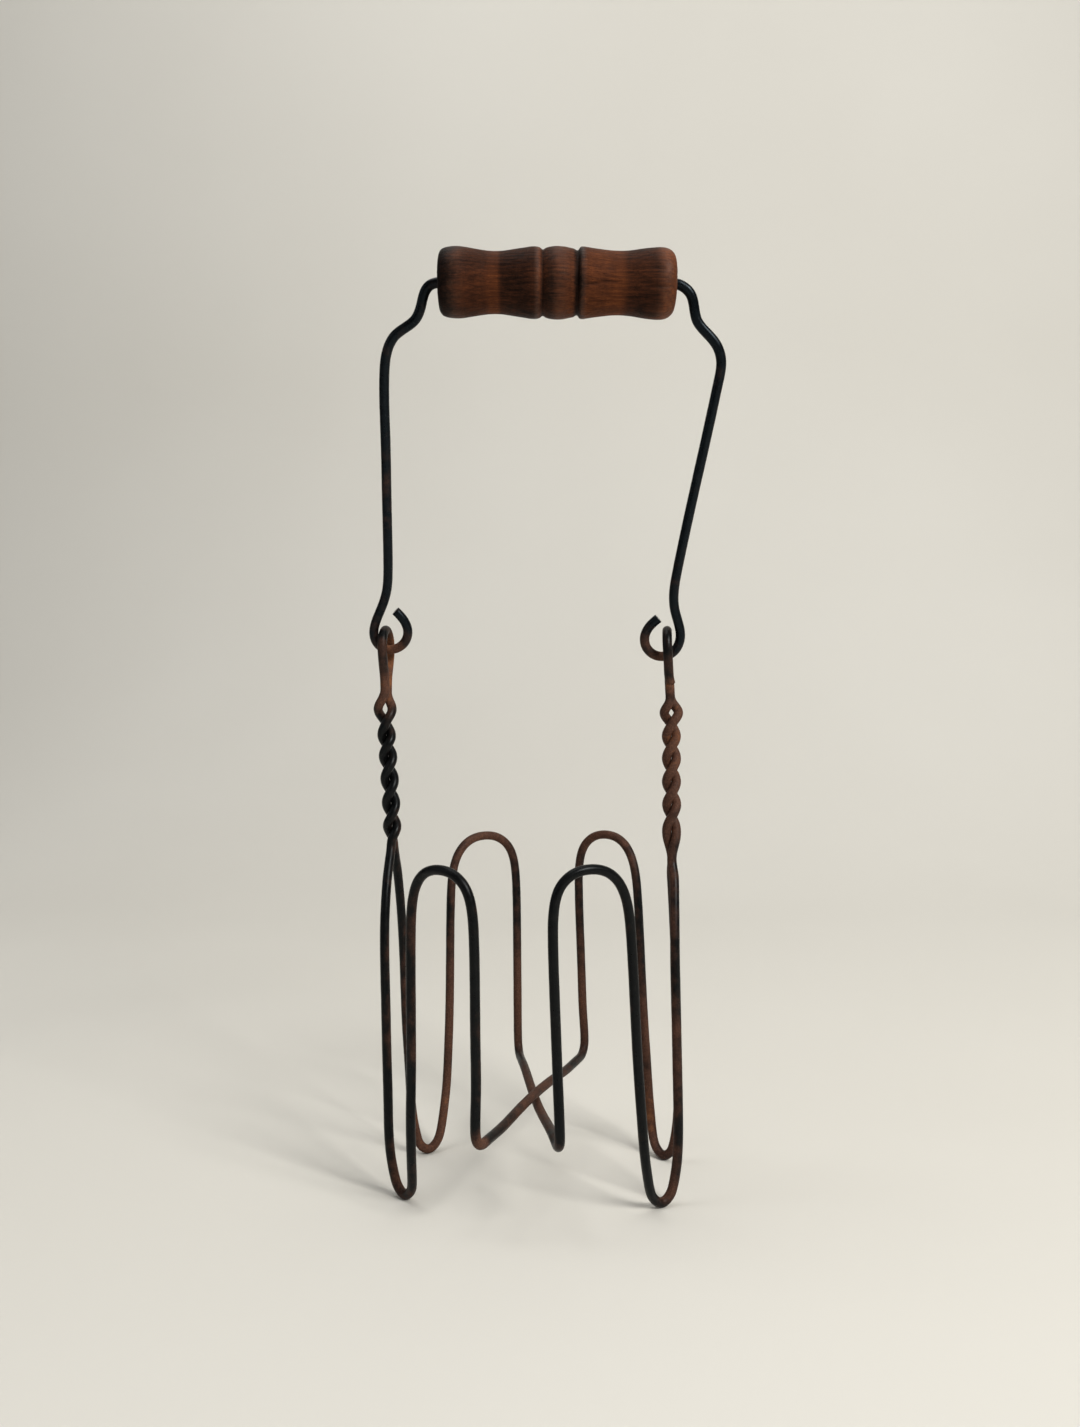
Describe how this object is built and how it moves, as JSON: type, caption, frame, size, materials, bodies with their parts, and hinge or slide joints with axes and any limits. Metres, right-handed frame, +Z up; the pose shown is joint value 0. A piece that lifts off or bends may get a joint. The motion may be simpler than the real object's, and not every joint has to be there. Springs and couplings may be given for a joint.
{
  "type": "jar lifter",
  "caption": "Wire basket lifter for one canning jar: arches round the jar, narrow loop feet, twisted side stems with eyes, and a hooked swinging bail with a turned wood grip.",
  "frame": {"origin": "on the ground, at the centre of the four feet and under the upright axis of the basket", "axes": "+Z up; +X from the left eye to the right eye; +Y from the front of the basket to its back"},
  "size_m": [0.1145, 0.0906, 0.2847],
  "materials": {
    "basket_wire": "dark oxide steel wire with brown rust",
    "bail_wire": "dark oxide steel wire, slight sheen",
    "grip_wood": "satin walnut stain, worn"
  },
  "bodies": {
    "basket": {"cage_wire": "basket_wire"},
    "bail": {"bail_wire": "bail_wire"},
    "grip": {"wood_grip": "grip_wood"}
  },
  "joints": [
    {"name": "bail_swing", "type": "hinge", "parent": "basket", "child": "bail", "pos_m": [0, 0, 0.1695], "axis": [0.9988, 0, -0.0484], "range_deg": [-160, 130]},
    {"name": "grip_spin", "type": "hinge", "parent": "bail", "child": "grip", "pos_m": [0.0155, -0.03182, 0.27415], "axis": [0.9929, 0.1149, -0.0291], "continuous": true}
  ]
}
